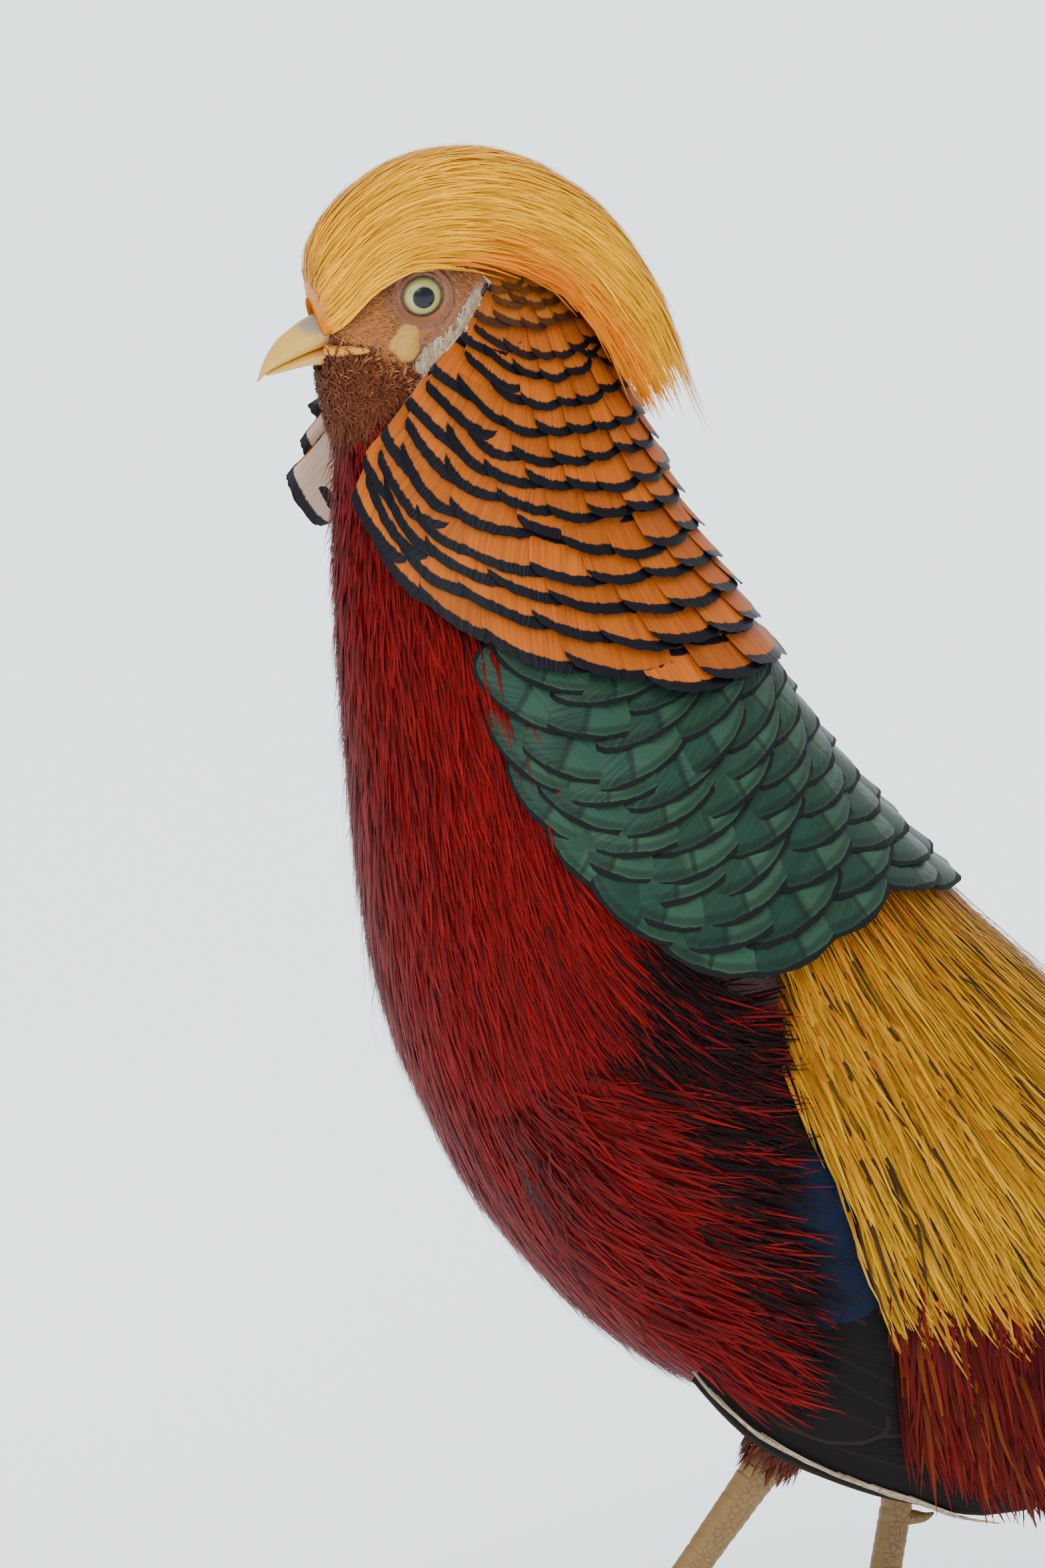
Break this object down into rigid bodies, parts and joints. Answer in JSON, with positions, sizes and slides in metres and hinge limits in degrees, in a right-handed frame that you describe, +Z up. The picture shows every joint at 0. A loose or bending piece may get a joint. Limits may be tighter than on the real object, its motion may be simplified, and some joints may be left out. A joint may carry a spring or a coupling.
{
  "type": "golden pheasant",
  "caption": "Life-size golden pheasant cock in mid stride, with a silky crest, a barred cape, scale-like back feathers, folded wings and a long trailing tail.",
  "frame": {"origin": "middle of the bird's bounding box seen from above, on the floor that its soles stand on", "axes": "+Z up, the bird faces -Y, its tail trails along +Y and its left side is +X"},
  "size_m": [0.1418, 0.9558, 0.3866],
  "materials": {
    "crest_plumage": "silky golden yellow feathers",
    "cape_plumage": "orange feathers barred with blue-black",
    "mantle_plumage": "metallic green scale-like feathers with velvety black edges",
    "rump_plumage": "hair-like golden yellow feathers over scarlet",
    "wing_plumage": "dark maroon, blue and black-brown feathers",
    "tail_plumage": "black and cinnamon mottled feathers",
    "thigh_plumage": "short red-brown feathers",
    "scaled_skin": "yellowish brown scaled skin",
    "horn": "yellowish horn",
    "eye": "pale yellow iris round a black pupil, glossy"
  },
  "bodies": {
    "root": {"head": "crest_plumage", "neck": "cape_plumage", "torso": "mantle_plumage", "rump": "rump_plumage", "wing_left": "wing_plumage", "wing_right": "wing_plumage", "tail": "tail_plumage", "thigh_left": "thigh_plumage", "thigh_right": "thigh_plumage", "shank_left": "scaled_skin", "shank_right": "scaled_skin", "foot_left": "scaled_skin", "foot_right": "scaled_skin", "bill_upper": "horn", "bill_lower": "horn", "claw_middle_left": "horn", "claw_middle_right": "horn", "claw_inner_left": "horn", "claw_inner_right": "horn", "claw_outer_left": "horn", "claw_outer_right": "horn", "claw_hind_left": "horn", "claw_hind_right": "horn", "eye_left": "eye", "eye_right": "eye"}
  },
  "joints": []
}
